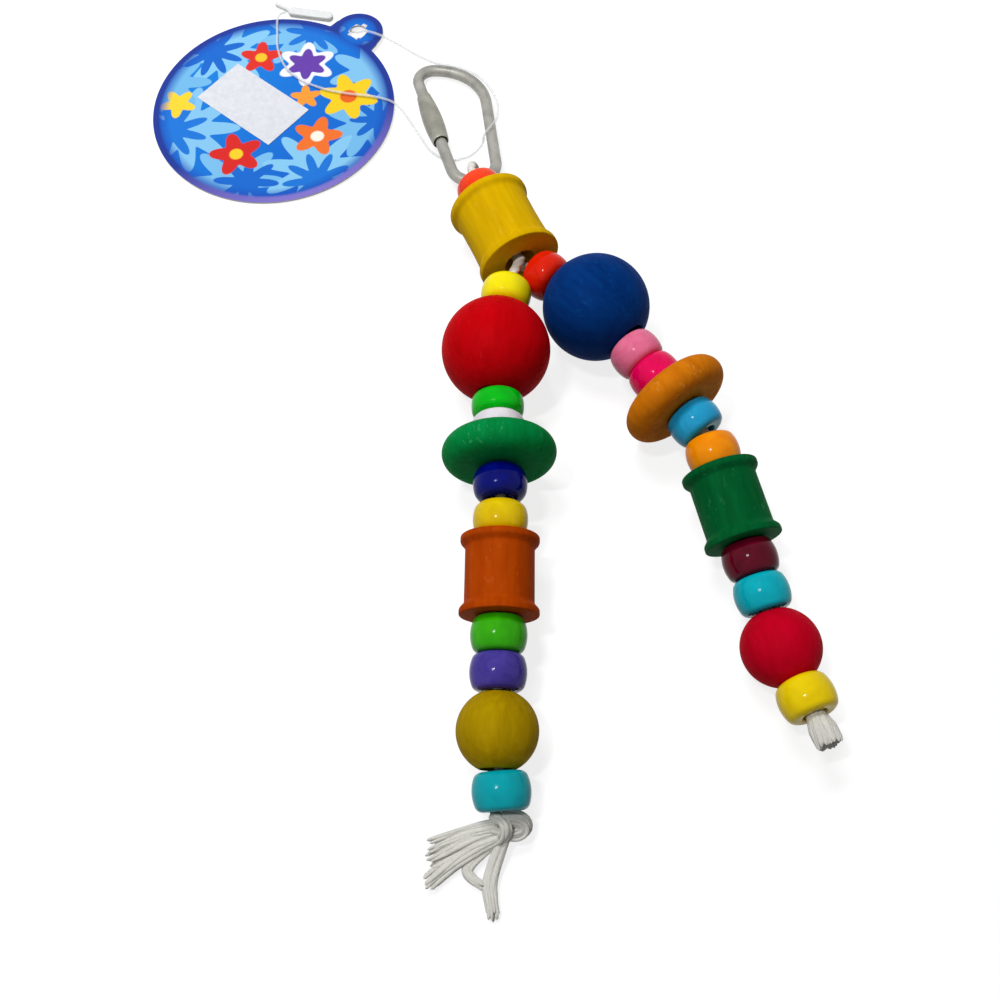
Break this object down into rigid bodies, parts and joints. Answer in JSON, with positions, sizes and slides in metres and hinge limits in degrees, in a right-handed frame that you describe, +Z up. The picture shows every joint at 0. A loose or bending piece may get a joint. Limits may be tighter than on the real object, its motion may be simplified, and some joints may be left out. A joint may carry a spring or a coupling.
{
  "type": "hanging bird toy",
  "caption": "Hanging cage toy: wire link with sliding sleeve, cord-strung spool and two legs of wooden balls, discs, spools and plastic beads, with a round hang tag.",
  "frame": {"origin": "on the table under the middle of the toy's box, the free filament and its lock left out", "axes": "+Z up from the table the toy lies on, +Y along its length towards the wire link and tag, +X towards the right leg"},
  "size_m": [0.1234, 0.1894, 0.0192],
  "materials": {
    "nickel_wire": "satin nickel plate",
    "nickel_sleeve": "satin nickel plate, slightly rough",
    "cotton_cord": "twisted cotton, off-white, frayed at the ends",
    "nylon": "clear to white nylon",
    "card": null,
    "sticker": "blank white label",
    "top_bead": "moulded plastic, glossy",
    "top_spool": "dyed wood, satin",
    "lemon_bead": "moulded plastic, glossy",
    "red_ball": "dyed wood, satin",
    "green_bead": "moulded plastic, glossy",
    "white_bead": "moulded plastic, glossy",
    "green_disc": "dyed wood, satin",
    "dark_blue_bead": "moulded plastic, glossy",
    "yellow_bead": "moulded plastic, glossy",
    "orange_spool": "dyed wood, satin",
    "lime_bead": "moulded plastic, glossy",
    "purple_bead": "moulded plastic, glossy",
    "olive_ball": "dyed wood, satin",
    "teal_bead": "moulded plastic, glossy",
    "vermilion_bead": "moulded plastic, glossy",
    "blue_ball": "dyed wood, satin",
    "pink_bead": "moulded plastic, glossy",
    "magenta_bead": "moulded plastic, glossy",
    "orange_disc": "dyed wood, satin",
    "sky_bead": "moulded plastic, glossy",
    "orange_bead": "moulded plastic, glossy",
    "green_spool": "dyed wood, satin",
    "maroon_bead": "moulded plastic, glossy",
    "turquoise_bead": "moulded plastic, glossy",
    "crimson_ball": "dyed wood, satin",
    "canary_bead": "moulded plastic, glossy"
  },
  "bodies": {
    "link": {"link_wire": "nickel_wire", "tag_filament": "nylon", "filament_lock": "nylon"},
    "sleeve": {"link_sleeve": "nickel_sleeve"},
    "tag": {"hang_tag": "card", "price_sticker": "sticker"},
    "head": {"head_cord": "cotton_cord"},
    "top_bead": {"top_bead": "top_bead"},
    "top_spool": {"top_spool": "top_spool"},
    "left_neck": {"left_neck_cord": "cotton_cord"},
    "left_upper": {"left_cord_upper": "cotton_cord"},
    "left_middle": {"left_cord_middle": "cotton_cord"},
    "left_lower": {"left_cord_lower": "cotton_cord"},
    "left_end": {"left_cord_end": "cotton_cord", "left_knot": "cotton_cord", "left_tail": "cotton_cord"},
    "lemon_bead": {"lemon_bead": "lemon_bead"},
    "red_ball": {"red_ball": "red_ball"},
    "green_bead": {"green_bead": "green_bead"},
    "white_bead": {"white_bead": "white_bead"},
    "green_disc": {"green_disc": "green_disc"},
    "dark_blue_bead": {"dark_blue_bead": "dark_blue_bead"},
    "yellow_bead": {"yellow_bead": "yellow_bead"},
    "orange_spool": {"orange_spool": "orange_spool"},
    "lime_bead": {"lime_bead": "lime_bead"},
    "purple_bead": {"purple_bead": "purple_bead"},
    "olive_ball": {"olive_ball": "olive_ball"},
    "teal_bead": {"teal_bead": "teal_bead"},
    "right_neck": {"right_neck_cord": "cotton_cord"},
    "right_upper": {"right_cord_upper": "cotton_cord"},
    "right_middle": {"right_cord_middle": "cotton_cord"},
    "right_lower": {"right_cord_lower": "cotton_cord"},
    "right_end": {"right_cord_end": "cotton_cord", "right_knot": "cotton_cord"},
    "vermilion_bead": {"vermilion_bead": "vermilion_bead"},
    "blue_ball": {"blue_ball": "blue_ball"},
    "pink_bead": {"pink_bead": "pink_bead"},
    "magenta_bead": {"magenta_bead": "magenta_bead"},
    "orange_disc": {"orange_disc": "orange_disc"},
    "sky_bead": {"sky_bead": "sky_bead"},
    "orange_bead": {"orange_bead": "orange_bead"},
    "green_spool": {"green_spool": "green_spool"},
    "maroon_bead": {"maroon_bead": "maroon_bead"},
    "turquoise_bead": {"turquoise_bead": "turquoise_bead"},
    "crimson_ball": {"crimson_ball": "crimson_ball"},
    "canary_bead": {"canary_bead": "canary_bead"}
  },
  "joints": [
    {"name": "sleeve_slide", "type": "slide", "parent": "link", "child": "sleeve", "axis": [-0.2864, 0.9556, -0.0693], "range_m": [0, 0.0035]},
    {"name": "head_swing", "type": "hinge", "parent": "link", "child": "head", "pos_m": [0.0053, 0.044, 0.0035], "axis": [0.9848, 0.1736, 0], "range_deg": [-70, 70]},
    {"name": "tag_turn", "type": "hinge", "parent": "link", "child": "tag", "pos_m": [-0.02081, 0.08729, 0.00101], "axis": [-0.0096, -0.0124, 0.9999], "range_deg": [0, 8]},
    {"name": "top_spool_spin", "type": "hinge", "parent": "head", "child": "top_spool", "pos_m": [0.01055, 0.02786, 0.00775], "axis": [0.4067, -0.9135, 0], "continuous": true},
    {"name": "top_bead_spin", "type": "hinge", "parent": "head", "child": "top_bead", "pos_m": [0.00628, 0.03745, 0.00775], "axis": [0.4067, -0.9135, 0], "continuous": true},
    {"name": "left_neck_splay", "type": "hinge", "parent": "head", "child": "left_neck", "pos_m": [0.0136, 0.02101, 0.00875], "axis": [0, 0, -1], "range_deg": [-1, 12]},
    {"name": "left_lift", "type": "hinge", "parent": "left_neck", "child": "left_upper", "pos_m": [0.01132, 0.01571, 0.00895], "axis": [-0.9893, 0.1461, 0], "range_deg": [-8, 20]},
    {"name": "left_rock", "type": "hinge", "parent": "left_upper", "child": "left_middle", "pos_m": [0.00912, 0.0008, 0.0095], "axis": [0, 0, -1], "range_deg": [-6, 6]},
    {"name": "left_flex", "type": "hinge", "parent": "left_middle", "child": "left_lower", "pos_m": [0.00994, -0.02846, 0.00964], "axis": [0, 0, -1], "range_deg": [-11, 7]},
    {"name": "left_end_rock", "type": "hinge", "parent": "left_lower", "child": "left_end", "pos_m": [0.00942, -0.06524, 0.00635], "axis": [0, 0, -1], "range_deg": [-8, 8]},
    {"name": "lemon_bead_spin", "type": "hinge", "parent": "left_upper", "child": "lemon_bead", "pos_m": [0.0109, 0.01284, 0.00906], "axis": [-0.146, -0.9886, 0.0362], "continuous": true},
    {"name": "red_ball_spin", "type": "hinge", "parent": "left_upper", "child": "red_ball", "pos_m": [0.00912, 0.0008, 0.0095], "axis": [-0.0593, -0.998, 0.0206], "continuous": true},
    {"name": "green_bead_spin", "type": "hinge", "parent": "left_middle", "child": "green_bead", "pos_m": [0.00945, -0.01115, 0.00956], "axis": [0.0279, -0.9996, 0.0049], "continuous": true},
    {"name": "white_bead_spin", "type": "hinge", "parent": "left_middle", "child": "white_bead", "pos_m": [0.00957, -0.01536, 0.00958], "axis": [0.0279, -0.9996, 0.0049], "continuous": true},
    {"name": "green_disc_spin", "type": "hinge", "parent": "left_middle", "child": "green_disc", "pos_m": [0.00969, -0.01961, 0.0096], "axis": [0.0279, -0.9996, 0.0049], "continuous": true},
    {"name": "dark_blue_bead_spin", "type": "hinge", "parent": "left_middle", "child": "dark_blue_bead", "pos_m": [0.00985, -0.02531, 0.00963], "axis": [0.0279, -0.9996, 0.0049], "continuous": true},
    {"name": "yellow_bead_spin", "type": "hinge", "parent": "left_lower", "child": "yellow_bead", "pos_m": [0.00989, -0.03159, 0.00936], "axis": [-0.0139, -0.9959, -0.0892], "continuous": true},
    {"name": "orange_spool_spin", "type": "hinge", "parent": "left_lower", "child": "orange_spool", "pos_m": [0.00976, -0.04105, 0.00851], "axis": [-0.0139, -0.9959, -0.0892], "continuous": true},
    {"name": "lime_bead_spin", "type": "hinge", "parent": "left_lower", "child": "lime_bead", "pos_m": [0.00963, -0.05051, 0.00767], "axis": [-0.0139, -0.9959, -0.0892], "continuous": true},
    {"name": "purple_bead_spin", "type": "hinge", "parent": "left_lower", "child": "purple_bead", "pos_m": [0.00955, -0.05639, 0.00714], "axis": [-0.0139, -0.9959, -0.0892], "continuous": true},
    {"name": "olive_ball_spin", "type": "hinge", "parent": "left_lower", "child": "olive_ball", "pos_m": [0.00942, -0.06524, 0.00635], "axis": [-0.0139, -0.9959, -0.0892], "continuous": true},
    {"name": "teal_bead_spin", "type": "hinge", "parent": "left_end", "child": "teal_bead", "pos_m": [0.01004, -0.07402, 0.00519], "axis": [0.0692, -0.989, -0.1305], "continuous": true},
    {"name": "right_neck_splay", "type": "hinge", "parent": "head", "child": "right_neck", "pos_m": [0.0136, 0.02101, 0.00675], "axis": [0, 0, 1], "range_deg": [-1, 3]},
    {"name": "right_lift", "type": "hinge", "parent": "right_neck", "child": "right_upper", "pos_m": [0.01613, 0.02007, 0.00715], "axis": [-0.6884, -0.7254, 0], "range_deg": [-8, 8]},
    {"name": "right_rock", "type": "hinge", "parent": "right_upper", "child": "right_middle", "pos_m": [0.02693, 0.00982, 0.0095], "axis": [0, 0, 1], "range_deg": [-6, 6]},
    {"name": "right_flex", "type": "hinge", "parent": "right_middle", "child": "right_lower", "pos_m": [0.04454, -0.01628, 0.00964], "axis": [0, 0, 1], "range_deg": [-1, 34]},
    {"name": "right_end_rock", "type": "hinge", "parent": "right_lower", "child": "right_end", "pos_m": [0.05381, -0.05214, 0.00635], "axis": [0, 0, 1], "range_deg": [-8, 4]},
    {"name": "vermilion_bead_spin", "type": "hinge", "parent": "right_upper", "child": "vermilion_bead", "pos_m": [0.0182, 0.0181, 0.0076], "axis": [0.7165, -0.6799, 0.1561], "continuous": true},
    {"name": "blue_ball_spin", "type": "hinge", "parent": "right_upper", "child": "blue_ball", "pos_m": [0.02693, 0.00982, 0.0095], "axis": [0.644, -0.7608, 0.0805], "continuous": true},
    {"name": "pink_bead_spin", "type": "hinge", "parent": "right_middle", "child": "pink_bead", "pos_m": [0.03361, -0.00008, 0.00955], "axis": [0.5592, -0.829, 0.0044], "continuous": true},
    {"name": "magenta_bead_spin", "type": "hinge", "parent": "right_middle", "child": "magenta_bead", "pos_m": [0.03665, -0.00459, 0.00958], "axis": [0.5592, -0.829, 0.0044], "continuous": true},
    {"name": "orange_disc_spin", "type": "hinge", "parent": "right_middle", "child": "orange_disc", "pos_m": [0.03971, -0.00912, 0.0096], "axis": [0.5592, -0.829, 0.0044], "continuous": true},
    {"name": "sky_bead_spin", "type": "hinge", "parent": "right_middle", "child": "sky_bead", "pos_m": [0.04277, -0.01366, 0.00962], "axis": [0.5592, -0.829, 0.0044], "continuous": true},
    {"name": "orange_bead_spin", "type": "hinge", "parent": "right_lower", "child": "orange_bead", "pos_m": [0.04539, -0.01956, 0.00934], "axis": [0.2494, -0.9644, -0.0884], "continuous": true},
    {"name": "green_spool_spin", "type": "hinge", "parent": "right_lower", "child": "green_spool", "pos_m": [0.04775, -0.02872, 0.0085], "axis": [0.2494, -0.9644, -0.0884], "continuous": true},
    {"name": "maroon_bead_spin", "type": "hinge", "parent": "right_lower", "child": "maroon_bead", "pos_m": [0.05012, -0.03788, 0.00766], "axis": [0.2494, -0.9644, -0.0884], "continuous": true},
    {"name": "turquoise_bead_spin", "type": "hinge", "parent": "right_lower", "child": "turquoise_bead", "pos_m": [0.0516, -0.04357, 0.00713], "axis": [0.2494, -0.9644, -0.0884], "continuous": true},
    {"name": "crimson_ball_spin", "type": "hinge", "parent": "right_lower", "child": "crimson_ball", "pos_m": [0.05381, -0.05214, 0.00635], "axis": [0.2494, -0.9644, -0.0884], "continuous": true},
    {"name": "canary_bead_spin", "type": "hinge", "parent": "right_end", "child": "canary_bead", "pos_m": [0.05653, -0.06051, 0.00759], "axis": [0.306, -0.9418, 0.1392], "continuous": true}
  ]
}
